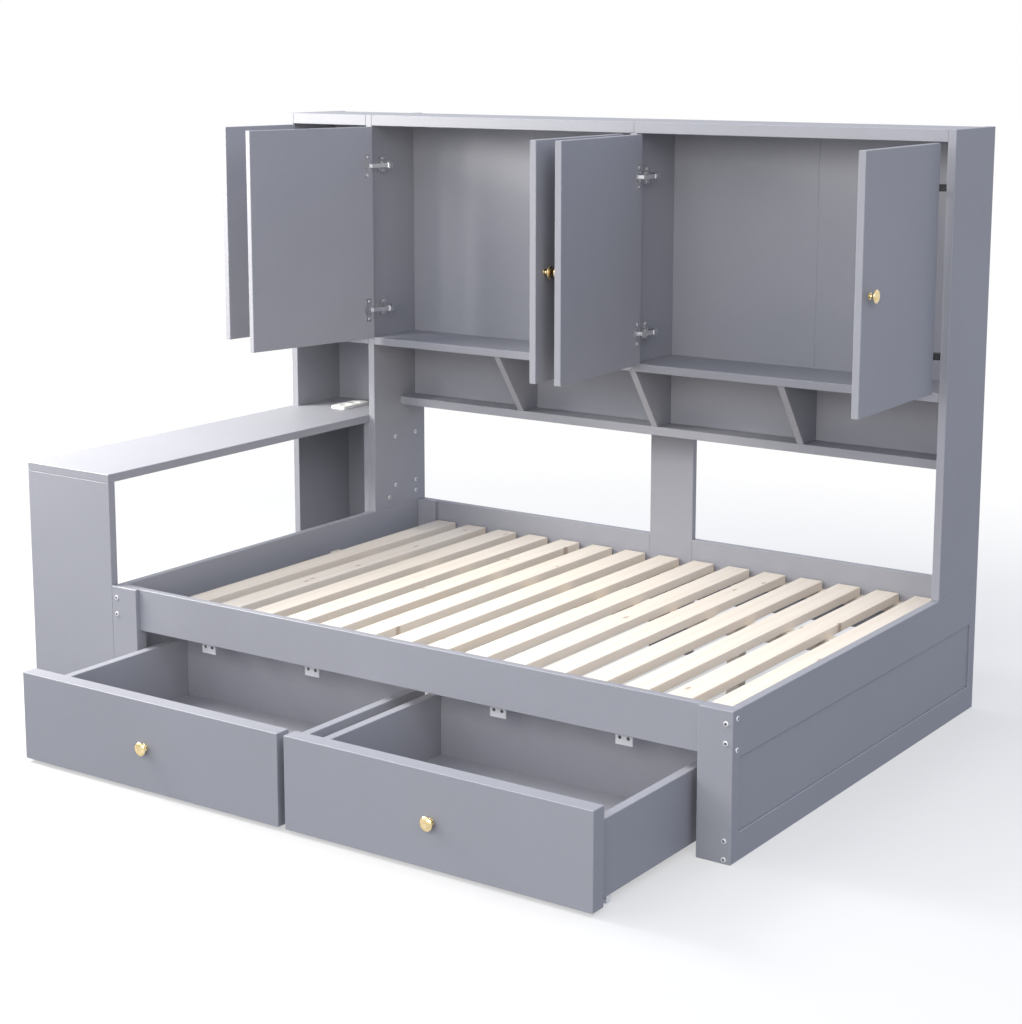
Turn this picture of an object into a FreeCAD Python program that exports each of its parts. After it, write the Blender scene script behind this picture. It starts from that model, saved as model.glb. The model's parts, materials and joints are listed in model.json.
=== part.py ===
import FreeCAD, Part
import Sketcher
import math
import os
import types

# Bed with a desk: a bed frame with two drawers on wheels, a headboard of door cabinets
# and cubbies at the wall, and a narrow desk along the left end.
# Millimetres. The origin is the middle of the centre stile's foot, on the floor at the
# wall side of the bed. +X runs to the right end, +Y to the wall and +Z up. Doors and
# drawers stand open, as photographed.

doc = FreeCAD.newDocument("bed_with_desk")

sizes = {
    # whole bed
    "bed_length": 1976,
    "bed_depth": 1430,
    "overall_height": 1646,
    "rail_top": 370,
    "board": 23,
    "edge_ease": 1.2,
    "cut_overrun": 4,
    # bed frame
    "post_width": 92,
    "post_depth": 38,
    "front_rail_height": 118,
    "front_rail_board": 22,
    "front_rail_setback": 13,
    "back_rail_height": 188,
    "back_rail_board": 22,
    "stile_width": 150,
    "end_top_rail_height": 118,
    "end_bottom_rail_height": 70,
    "end_panel_board": 12,
    "end_panel_setback": 4,
    # slats and what carries them
    "slat_top": 308,
    "slat_board": 25,
    "slat_width": 72,
    "slat_side_gap": 77.1,
    "slat_end_gap": 8,
    "ledger_width": 28,
    "ledger_height": 30,
    "beam_place": 950,
    "beam_width": 40,
    "beam_height": 40,
    # headboard
    "headboard_depth": 267,
    "top_board_height": 33,
    "cabinet_base": 918,
    "cabinet_floor_board": 24,
    "back_setback": 52,
    "back_board": 15,
    "cubby_shelf_top": 731,
    "cubby_shelf_board": 26,
    "cubby_shelf_depth": 130,
    "cubby_divider_board": 22,
    "cubby_divider_setback": 4,
    # desk
    "desk_width": 321,
    "desk_height": 687,
    "desk_board": 24,
    "desk_leg_board": 25,
    "desk_back_board": 12,
    "desk_back_gap": 3,
    "socket_width": 58,
    "socket_length": 135,
    "socket_height": 9,
    "socket_corner": 8,
    "socket_from_panel": 154,
    "socket_from_wall": 172,
    "outlet_diameter": 38,
    "outlet_depth": 5,
    "outlet_spacing": 48,
    # doors and their knobs
    "door_board": 20,
    "door_gap": 3,
    "door_end_gap": 2,
    "door_1_angle": 96.75,
    "door_2_angle": 102.25,
    "door_3_angle": 91.75,
    "door_4_angle": 86.25,
    "door_5_angle": 91,
    "knob_length": 25,
    "knob_radius": 18,
    "door_knob_from_edge": 46,
    # door hinges, places counted from a panel's face and from the headboard's front
    "pivot_into_panel": 5,
    "pivot_ahead": 15,
    "hinge_from_door_low": 92,
    "hinge_from_door_high": 121,
    "cup_from_edge": 22.5,
    "cup_radius": 17.5,
    "cup_depth": 11,
    "cup_seat_clearance": 0.1,
    "flange_sheet": 1.2,
    "flange_height": 72,
    "flange_width": 18,
    "link_out": 46,
    "link_depth": 27,
    "link_sheet": 3,
    "link_height": 12,
    "link_length": 68,
    "link_eye_radius": 3.5,
    "link_pin_radius": 2,
    "link_pin_clearance": 0.05,
    "seat_from_edge": 0.8,
    "seat_width": 8,
    "seat_height": 10,
    "seat_clearance": 0.3,
    "arm_slot_clearance": 0.3,
    "arm_cheek": 3,
    "arm_nose_radius": 3.7,
    "arm_front_block": 46,
    "arm_back": 62,
    "arm_back_out": 14,
    "arm_plate_sheet": 3,
    "arm_plate_height": 50,
    "arm_plate_front": 31,
    "arm_plate_back": 67,
    # drawers
    "drawer_side_gap": 10.5,
    "drawer_front_board": 45,
    "drawer_front_low": 10,
    "drawer_front_high": 245,
    "drawer_middle_gap": 21,
    "drawer_kept_under": 175,
    "drawer_depth": 605,
    "drawer_wall_board": 25,
    "drawer_wall_inset": 11,
    "drawer_wall_low": 22,
    "drawer_side_high": 205,
    "drawer_back_high": 238,
    "drawer_bottom_low": 33,
    "drawer_bottom_board": 6,
    "groove_depth": 6,
    "drawer_knob_height": 125,
    # castors
    "wheel_radius": 9.5,
    "wheel_width": 14,
    "axle_radius": 2.5,
    "axle_clearance": 0.05,
    "fork_width": 20,
    "fork_sheet": 2,
    "fork_length": 18,
    "fork_low": 4,
    "castor_front": 87,
    "castor_back": 65,
    # drawer stops
    "stop_width": 48,
    "stop_sheet": 2,
    "stop_low": 215,
    "stop_from_rail": 12,
    "stop_flange": 20,
    "stop_from_near": 290.5,
    "stop_from_far": 216.5,
}

slat_count = 15
knob_sides = 12

sheet = doc.addObject("Spreadsheet::Sheet", "dim")
for row, (name, number) in enumerate(sizes.items(), start=1):
    sheet.set(f"A{row}", name)
    sheet.set(f"B{row}", str(number))
    sheet.setAlias(f"B{row}", name)
doc.recompute()


class Size:
    """A length that carries its number and the spreadsheet expression it comes from."""

    def __init__(self, number, text):
        self.number = number
        self.text = text

    def __add__(self, other):
        other = as_size(other)
        return Size(self.number + other.number, f"({self.text} + {other.text})")

    def __radd__(self, other):
        return as_size(other) + self

    def __sub__(self, other):
        other = as_size(other)
        return Size(self.number - other.number, f"({self.text} - {other.text})")

    def __rsub__(self, other):
        return as_size(other) - self

    def __mul__(self, factor):
        factor = as_size(factor)
        return Size(self.number * factor.number, f"({self.text} * {factor.text})")

    def __rmul__(self, factor):
        return self * factor

    def __truediv__(self, factor):
        return Size(self.number / factor, f"({self.text} / {factor})")

    def __neg__(self):
        return self * -1


def sine(angle):
    return Size(math.sin(math.radians(angle.number)), f"sin({angle.text})")


def cosine(angle):
    return Size(math.cos(math.radians(angle.number)), f"cos({angle.text})")


def as_size(thing):
    return thing if isinstance(thing, Size) else Size(thing, str(thing))


dim = types.SimpleNamespace(**{name: Size(number, f"dim.{name}") for name, number in sizes.items()})
nodes = []


def span(first, second):
    return sorted((as_size(first), as_size(second)), key=lambda size: size.number)


def corners(first, second):
    (low_a, high_a), (low_b, high_b) = first, second
    return [(low_a, low_b), (high_a, low_b), (high_a, high_b), (low_a, high_b)]


def new_body(label):
    body = doc.addObject("PartDesign::Body", label)
    body.Label = label
    return body


def place(body, **shifts):
    for axis, shift in shifts.items():
        body.setExpression(f".Placement.Base.{axis}", as_size(shift).text)


def new_sketch(body, role, lift=0):
    sketch = body.newObject("Sketcher::SketchObject", f"{body.Label}_sketch")
    plane = [feature for feature in body.Origin.OriginFeatures if feature.Role == role][0]
    sketch.AttachmentSupport = (plane, [""])
    sketch.MapMode = "FlatFace"
    lift = as_size(lift)
    if lift.number:
        sketch.setExpression(".AttachmentOffset.Base.z", lift.text)
    return sketch


def fix_point(sketch, index, vertex, point):
    for kind, axis, value in (("DistanceX", -2, point[0]), ("DistanceY", -1, point[1])):
        value = as_size(value)
        if abs(value.number) < 1e-9:
            sketch.addConstraint(Sketcher.Constraint("PointOnObject", index, vertex, axis))
            continue
        number = sketch.addConstraint(Sketcher.Constraint(kind, -1, 1, index, vertex, value.number))
        sketch.setExpression(f"Constraints[{number}]", value.text)


def vector(point):
    return FreeCAD.Vector(as_size(point[0]).number, as_size(point[1]).number, 0)


def draw_outline(sketch, points):
    first = sketch.GeometryCount
    count = len(points)
    for index, point in enumerate(points):
        line = Part.LineSegment(vector(point), vector(points[(index + 1) % count]))
        sketch.addGeometry(line, False)
    for index, point in enumerate(points):
        following = first + (index + 1) % count
        sketch.addConstraint(Sketcher.Constraint("Coincident", first + index, 2, following, 1))
        fix_point(sketch, first + index, 1, point)


def draw_circle(sketch, centre, radius):
    circle = Part.Circle(vector(centre), FreeCAD.Vector(0, 0, 1), radius.number)
    index = sketch.addGeometry(circle, False)
    fix_point(sketch, index, 3, centre)
    number = sketch.addConstraint(Sketcher.Constraint("Radius", index, radius.number))
    sketch.setExpression(f"Constraints[{number}]", radius.text)


def add_pad(body, sketch, length, side="One side", flip=False):
    pad = body.newObject("PartDesign::Pad", f"{body.Label}_pad")
    pad.Profile = sketch
    pad.setExpression("Length", as_size(length).text)
    pad.SideType = side
    pad.Reversed = flip
    return pad


def add_pocket(body, sketch, length, side="One side", flip=False):
    pocket = body.newObject("PartDesign::Pocket", f"{body.Label}_pocket")
    pocket.Profile = sketch
    pocket.setExpression("Length", as_size(length).text)
    pocket.SideType = side
    pocket.Reversed = flip
    return pocket


def ease_edges(body, feature):
    chamfer = body.newObject("PartDesign::Chamfer", f"{body.Label}_eased")
    chamfer.Base = (feature, [""])
    chamfer.UseAllEdges = True
    chamfer.setExpression("Size", dim.edge_ease.text)


def cut_board(label, role, outline, along):
    # a board sawn to an outline, its thickness or length running along the third axis
    low, high = along
    body = new_body(label)
    sketch = new_sketch(body, role)
    draw_outline(sketch, outline)
    pad = add_pad(body, sketch, high - low, flip=(role == "XZ_Plane"))
    ease_edges(body, pad)
    place(body, **{{"XY_Plane": "z", "XZ_Plane": "y", "YZ_Plane": "x"}[role]: low})
    return body


def board(label, x, y, z):
    return cut_board(label, "XY_Plane", corners(span(*x), span(*y)), span(*z))


def turned(label, axis, sign, centre, profile):
    # a piece turned about a level axis; profile pairs are (along the axis, radius)
    across, along, height = centre
    body = new_body(label)
    sketch = new_sketch(body, "XY_Plane")

    def spot(pair):
        length, radius = as_size(pair[0]), as_size(pair[1])
        if axis == "y":
            return (across + radius, along + length * sign)
        return (across + length * sign, along + radius)

    draw_outline(sketch, [spot(pair) for pair in profile])
    lengths = sorted((as_size(pair[0]) for pair in profile), key=lambda size: size.number)
    ends = [(lengths[0], 0), (lengths[-1], 0)]
    axis_line = Part.LineSegment(vector(spot(ends[0])), vector(spot(ends[1])))
    index = sketch.addGeometry(axis_line, True)
    fix_point(sketch, index, 1, spot(ends[0]))
    fix_point(sketch, index, 2, spot(ends[1]))
    turning = body.newObject("PartDesign::Revolution", f"{label}_turning")
    turning.Profile = sketch
    turning.ReferenceAxis = (sketch, ["Axis0"])
    turning.Angle = 360
    place(body, z=height)
    return body


def node(label, members):
    # one named piece, or a group of separate solids that share one name
    if len(members) == 1:
        piece = members[0]
        piece.Label = label
    else:
        piece = doc.addObject("Part::Compound", label)
        piece.Links = members
        piece.Label = label
    nodes.append(piece)
    return piece


# Shared places: bed ends, front, wall, headboard front and cabinet faces
right = dim.bed_length / 2
left = -right
wall = dim.back_rail_board / 2
front = wall - dim.bed_depth
head_front = wall - dim.headboard_depth
right_inner = right - dim.board
left_inner = left + dim.board
far_left = left - dim.desk_width
desk_inner = far_left + dim.board
post_inner = right - dim.post_width
front_rail_back = front + dim.front_rail_setback + dim.front_rail_board
back_rail_front = wall - dim.back_rail_board
back_face = wall - dim.back_setback
cabinet_floor_top = dim.cabinet_base + dim.cabinet_floor_board
top_board_low = dim.overall_height - dim.top_board_height
slat_low = dim.slat_top - dim.slat_board
divider_face = dim.board / 2
cabinet_middle = (right_inner + divider_face) / 2


def bore(body, role, centres, radius, depth, flip, lift=0):
    sketch = new_sketch(body, role, lift)
    for centre in centres:
        draw_circle(sketch, centre, radius)
    add_pocket(body, sketch, depth, flip=flip)


# Corner posts
posts = []
for end, sign in (("left", -1), ("right", 1)):
    thick = (post_inner * sign, right * sign)
    for side, depth in (("front", (front, front + dim.post_depth)), ("back", (wall - dim.post_depth, wall))):
        posts.append(board(f"{side}_{end}_post", thick, depth, (0, dim.rail_top)))
node("corner_posts", posts)

# Rails: front, back pair beside the centre stile, and the framed bed ends
rail_front = front + dim.front_rail_setback
node("front_rail", [board("front_rail_board", (-post_inner, post_inner), (rail_front, front_rail_back),
                          (dim.rail_top - dim.front_rail_height, dim.rail_top))])
stile_side = dim.stile_width / 2
back_rail_low = dim.rail_top - dim.back_rail_height
node("back_rails", [board(f"back_rail_{end}", (stile_side * sign, post_inner * sign), (back_rail_front, wall),
                          (back_rail_low, dim.rail_top))
                    for end, sign in (("left", -1), ("right", 1))])
shelf_low = dim.cubby_shelf_top - dim.cubby_shelf_board
node("centre_stile", [board("centre_stile_board", (-stile_side, stile_side), (back_rail_front, wall),
                            (0, shelf_low))])
end_span = (front + dim.post_depth, wall - dim.post_depth)
end_rail_low = dim.rail_top - dim.end_top_rail_height
end_rails = []
end_panels = []
for end, sign in (("left", -1), ("right", 1)):
    outer = right * sign
    thick = (outer - dim.board * sign, outer)
    end_rails.append(board(f"{end}_top_rail", thick, end_span, (end_rail_low, dim.rail_top)))
    end_rails.append(board(f"{end}_bottom_rail", thick, end_span, (0, dim.end_bottom_rail_height)))
    panel_face = outer - dim.end_panel_setback * sign
    end_panels.append(board(f"{end}_inset_panel", (panel_face - dim.end_panel_board * sign, panel_face),
                            end_span, (dim.end_bottom_rail_height, end_rail_low)))
node("end_rails", end_rails)
node("end_panels", end_panels)

# Slats on two ledgers, with a beam on legs behind the drawers
ledger_height = (slat_low - dim.ledger_height, slat_low)
ledger_ends = (-post_inner, post_inner)
node("slat_ledgers", [
    board("front_ledger", ledger_ends, (front_rail_back, front_rail_back + dim.ledger_width), ledger_height),
    board("back_ledger", ledger_ends, (back_rail_front - dim.ledger_width, back_rail_front), ledger_height),
])
slat_pitch = (right_inner * 2 - dim.slat_side_gap * 2 - dim.slat_width) / (slat_count - 1)
slats = []
for number in range(slat_count):
    middle = slat_pitch * (number - (slat_count - 1) / 2)
    slats.append(board(f"slat_{number + 1}", (middle - dim.slat_width / 2, middle + dim.slat_width / 2),
                       (front_rail_back + dim.slat_end_gap, back_rail_front - dim.slat_end_gap),
                       (slat_low, dim.slat_top)))
node("slats", slats)
beam_y = front + dim.beam_place
beam_span = (beam_y - dim.beam_width / 2, beam_y + dim.beam_width / 2)
beam_low = slat_low - dim.beam_height
beam_pieces = [board("beam", (left_inner, right_inner), beam_span, (beam_low, slat_low))]
for number, sign in enumerate((-1, 1), start=1):
    middle = right_inner / 2 * sign
    beam_pieces.append(board(f"beam_leg_{number}", (middle - dim.beam_width / 2, middle + dim.beam_width / 2),
                             beam_span, (0, beam_low)))
node("support_beam", beam_pieces)

# Headboard panels, boards, floors and backs
panel_depth = (head_front, wall)
panel_height = (dim.rail_top, dim.overall_height)
node("inner_panel", [board("inner_panel_board", (left, left_inner), panel_depth, panel_height)])
node("left_end_panel", [board("left_end_board", (far_left, desk_inner), panel_depth, (0, dim.overall_height))])
node("right_end_panel", [board("right_end_board", (right_inner, right), panel_depth, panel_height)])
shelf_depth = (head_front, back_face)
node("cabinet_divider", [board("divider_board", (-divider_face, divider_face), shelf_depth,
                               (cabinet_floor_top, top_board_low))])
bay_spans = {"desk": (desk_inner, left), "middle": (left_inner, 0), "right": (0, right_inner)}
node("top_boards", [board(f"{bay}_top_board", ends, shelf_depth, (top_board_low, dim.overall_height))
                    for bay, ends in bay_spans.items()])
node("cabinet_floors", [board(f"{bay}_floor_board", ends, shelf_depth, (dim.cabinet_base, cabinet_floor_top))
                        for bay, ends in bay_spans.items()])
back_span = (back_face, back_face + dim.back_board)
back_edges = [left_inner, -cabinet_middle, as_size(0), cabinet_middle, right_inner]
backs = [board(f"back_panel_{number}", ends, back_span, (dim.cubby_shelf_top, dim.overall_height))
         for number, ends in enumerate(zip(back_edges, back_edges[1:]), start=1)]
backs.append(board("desk_cubby_back", (desk_inner, left), back_span, (dim.desk_height, dim.overall_height)))
node("back_panels", backs)
shelf_front = wall - dim.cubby_shelf_depth
node("cubby_shelf", [board("cubby_shelf_board", (left_inner, right_inner), (shelf_front, wall),
                           (shelf_low, dim.cubby_shelf_top))])
divider_top = head_front + dim.cubby_divider_setback
divider_outline = [(shelf_front, dim.cubby_shelf_top), (back_face, dim.cubby_shelf_top),
                   (back_face, dim.cabinet_base), (divider_top, dim.cabinet_base)]
divider_half = dim.cubby_divider_board / 2
node("cubby_dividers", [cut_board(f"cubby_divider_{number}", "YZ_Plane", divider_outline,
                                  (middle - divider_half, middle + divider_half))
                        for number, middle in enumerate((-cabinet_middle, as_size(0), cabinet_middle), start=1)])

# Desk: notched top, leg panel at the front, support panel against the bed end
desk_low = dim.desk_height - dim.desk_board
desk_outline = [(far_left, front), (left, front), (left, wall), (desk_inner, wall),
                (desk_inner, head_front), (far_left, head_front)]
node("desk_top", [cut_board("desk_top_board", "XY_Plane", desk_outline, (desk_low, dim.desk_height))])
node("desk_leg_panel", [board("desk_leg_board", (far_left, left), (front, front + dim.desk_leg_board),
                              (0, desk_low))])
node("desk_support_panel", [board("desk_support_board", (left - dim.board, left), panel_depth, (0, desk_low))])
node("desk_back_board", [board("desk_back_plate", (desk_inner + dim.desk_back_gap, left - dim.board),
                               (wall - dim.desk_back_board, wall), (0, desk_low))])

# Socket unit on the desk top: rounded housing with two outlets
socket_x = left - dim.socket_from_panel
socket_y = wall - dim.socket_from_wall
socket = new_body("socket_housing")
housing_sketch = new_sketch(socket, "XY_Plane")
draw_outline(housing_sketch, corners((socket_x - dim.socket_width / 2, socket_x + dim.socket_width / 2),
                                     (socket_y - dim.socket_length / 2, socket_y + dim.socket_length / 2)))
housing = add_pad(socket, housing_sketch, dim.socket_height)
place(socket, z=dim.desk_height)
doc.recompute()
upright_edges = [f"Edge{number}" for number, edge in enumerate(housing.Shape.Edges, start=1)
                 if abs(edge.tangentAt(edge.FirstParameter).z) > 0.5]
rounding = socket.newObject("PartDesign::Fillet", "socket_rounding")
rounding.Base = (housing, upright_edges)
rounding.setExpression("Radius", dim.socket_corner.text)
outlet_spots = [(socket_x, socket_y + dim.outlet_spacing / 2 * sign) for sign in (-1, 1)]
bore(socket, "XY_Plane", outlet_spots, dim.outlet_diameter / 2, dim.outlet_depth, flip=False,
     lift=dim.socket_height)
node("socket_unit", [socket])

# Doors. Each turns about a point just ahead of its panel's front edge, as a concealed hinge
# throws its door forward; the links behind it follow the door about pins in the arms, and
# the open door comes to rest with a seat on each cup against its link.
knob_height_share = 0.459
collar_shares = {"start": 0, "length": 0.12, "radius": 0.53}
stem_shares = {"start": 0, "length": 0.6, "radius": 0.27}
flare_shares = {"start": 0.5, "length": 0.14, "radius": 0.66}
rim_shares = {"start": 0.62, "length": 0.2, "radius": 1}
crown_shares = {"start": 0.8, "length": 0.12, "radius": 0.82}
cap_shares = {"start": 0.9, "length": 0.1, "radius": 0.5}
knob_stages = [collar_shares, stem_shares, flare_shares, rim_shares, crown_shares, cap_shares]
door_low = cabinet_floor_top + dim.door_end_gap
door_high = top_board_low - dim.door_end_gap
wide_door = (right_inner - divider_face - dim.door_gap * 3) / 2
narrow_door = left - desk_inner - dim.door_gap * 2
hinge_rows = [door_low + dim.hinge_from_door_low, door_high - dim.hinge_from_door_high]
door_knob_height = door_low + (door_high - door_low) * knob_height_share
pivot_y = head_front - dim.pivot_ahead
link_y = head_front + dim.link_depth
door_plan = [
    (1, desk_inner, 1, narrow_door, dim.door_1_angle),
    (2, left_inner, 1, wide_door, dim.door_2_angle),
    (3, -divider_face, -1, wide_door, dim.door_3_angle),
    (4, divider_face, 1, wide_door, dim.door_4_angle),
    (5, right_inner, -1, wide_door, dim.door_5_angle),
]
upright = FreeCAD.Vector(0, 0, 1)


def hang(body, pivot_x, pivot_y, swing):
    body.Placement = FreeCAD.Placement(FreeCAD.Vector(), FreeCAD.Rotation(upright, swing.number))
    body.setExpression(".Placement.Rotation.Angle", swing.text)
    place(body, x=pivot_x, y=pivot_y)


def knob(label, middle, face, height):
    # a many-sided knob in steps off a front face: collar, stem, and a head that flares to its rim and closes
    body = new_body(label)
    for shares in knob_stages:
        radius = dim.knob_radius * shares["radius"]
        sketch = new_sketch(body, "XZ_Plane", dim.knob_length * shares["start"] - face)
        turns = [2 * math.pi * side / knob_sides for side in range(knob_sides)]
        draw_outline(sketch, [(middle + radius * math.cos(turn), radius * math.sin(turn)) for turn in turns])
        add_pad(body, sketch, dim.knob_length * shares["length"])
    place(body, z=height)
    return body


def hinge_cup(label, cup_x, row, seat_x, seat_reach):
    # cup let into the door's inner face, with a screw wing above and below it and a seat
    inner_face = dim.pivot_ahead + dim.door_board
    profile = [(-dim.flange_sheet, 0), (-dim.flange_sheet, dim.cup_radius),
               (dim.cup_depth, dim.cup_radius), (dim.cup_depth, 0)]
    body = turned(label, "y", -1, (cup_x, inner_face, row), profile)
    wings = new_sketch(body, "XZ_Plane", -inner_face)
    draw_outline(wings, corners((cup_x - dim.flange_width / 2, cup_x + dim.flange_width / 2),
                                (-dim.flange_height / 2, dim.flange_height / 2)))
    add_pad(body, wings, dim.flange_sheet, flip=True)
    seat = new_sketch(body, "XZ_Plane", -inner_face)
    draw_outline(seat, corners(seat_x, (-dim.seat_height / 2, dim.seat_height / 2)))
    add_pad(body, seat, seat_reach, flip=True)
    return body


def hinge_link(label, sign, row):
    body = new_body(label)
    bar = new_sketch(body, "XY_Plane")
    draw_outline(bar, corners(span(0, dim.link_length * sign), span(-dim.link_sheet / 2, dim.link_sheet / 2)))
    add_pad(body, bar, dim.link_height, side="Symmetric")
    eye = new_sketch(body, "XY_Plane")
    draw_circle(eye, (0, 0), dim.link_eye_radius)
    add_pad(body, eye, dim.link_height, side="Symmetric")
    hole = new_sketch(body, "XY_Plane")
    draw_circle(hole, (0, 0), dim.link_pin_radius + dim.link_pin_clearance)
    add_pocket(body, hole, dim.link_height + dim.cut_overrun, side="Symmetric")
    place(body, z=row)
    return body


def hinge_arm(label, face, sign, row):
    # arm on a wall plate, its nose forked around the link's eye
    def spot(out, deep):
        return (face + out * sign, head_front + deep)

    nose_low = dim.link_out - dim.arm_nose_radius
    nose_high = dim.link_out + dim.arm_nose_radius
    nose_front = dim.link_depth - dim.arm_nose_radius
    slot = dim.link_height + dim.arm_slot_clearance * 2
    height = slot + dim.arm_cheek * 2
    body = new_body(label)
    shape = new_sketch(body, "XY_Plane")
    draw_outline(shape, [spot(as_size(0), dim.arm_back), spot(as_size(0), dim.arm_front_block),
                         spot(nose_low, dim.link_depth), spot(nose_low, nose_front),
                         spot(nose_high, nose_front), spot(nose_high, dim.arm_front_block),
                         spot(dim.arm_back_out, dim.arm_back)])
    add_pad(body, shape, height, side="Symmetric")
    plate = new_sketch(body, "XY_Plane")
    draw_outline(plate, corners(span(face, face + dim.arm_plate_sheet * sign),
                                (head_front + dim.arm_plate_front, head_front + dim.arm_plate_back)))
    add_pad(body, plate, dim.arm_plate_height, side="Symmetric")
    fork = new_sketch(body, "XY_Plane")
    fork_x = span(face + (nose_low - dim.cut_overrun) * sign, face + (nose_high + dim.cut_overrun) * sign)
    draw_outline(fork, corners(fork_x, (head_front + nose_front - dim.cut_overrun,
                                        head_front + dim.link_depth + dim.arm_nose_radius)))
    add_pocket(body, fork, slot, side="Symmetric")
    pin = new_sketch(body, "XY_Plane")
    draw_circle(pin, spot(dim.link_out, dim.link_depth), dim.link_pin_radius)
    add_pad(body, pin, height, side="Symmetric")
    place(body, z=row)
    return body


arms = []
for number, face, sign, width, angle in door_plan:
    name = f"door_{number}"
    pivot_x = face - dim.pivot_into_panel * sign
    link_x = face + dim.link_out * sign
    swing = -angle * sign
    edge = dim.pivot_into_panel + dim.door_gap
    inner_face = dim.pivot_ahead + dim.door_board
    cup_x = (edge + dim.cup_from_edge) * sign
    panel = board(f"{name}_board", (edge * sign, (edge + width) * sign), (dim.pivot_ahead, inner_face),
                  (door_low, door_high))
    bore(panel, "XZ_Plane", [(cup_x, row - door_low) for row in hinge_rows],
         dim.cup_radius + dim.cup_seat_clearance, dim.cup_depth + dim.cup_seat_clearance, flip=True,
         lift=-inner_face)
    knob_x = (edge + width - dim.door_knob_from_edge) * sign
    door_knob = knob(f"{name}_knob_turning", knob_x, dim.pivot_ahead, door_knob_height)
    seat_x = span((edge + dim.seat_from_edge) * sign, (edge + dim.seat_from_edge + dim.seat_width) * sign)
    link_gap = (dim.link_out + dim.pivot_into_panel) * sine(angle) \
        + (dim.link_depth + dim.pivot_ahead) * cosine(angle) - inner_face
    seat_reach = link_gap - dim.link_sheet / 2 - dim.seat_clearance
    cups = [hinge_cup(f"{name}_cup_{order}", cup_x, row, seat_x, seat_reach)
            for order, row in enumerate(hinge_rows, start=1)]
    links = [hinge_link(f"{name}_link_{order}", sign, row) for order, row in enumerate(hinge_rows, start=1)]
    arms += [hinge_arm(f"{name}_arm_{order}", face, sign, row) for order, row in enumerate(hinge_rows, start=1)]
    for piece in [panel, door_knob] + cups:
        hang(piece, pivot_x, pivot_y, swing)
    for piece in links:
        hang(piece, link_x, link_y, swing)
    node(f"{name}_panel", [panel])
    node(f"{name}_knob", [door_knob])
    node(f"{name}_hinge_cups", cups)
    node(f"{name}_hinge_links", links)
node("hinge_arms", arms)

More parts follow.
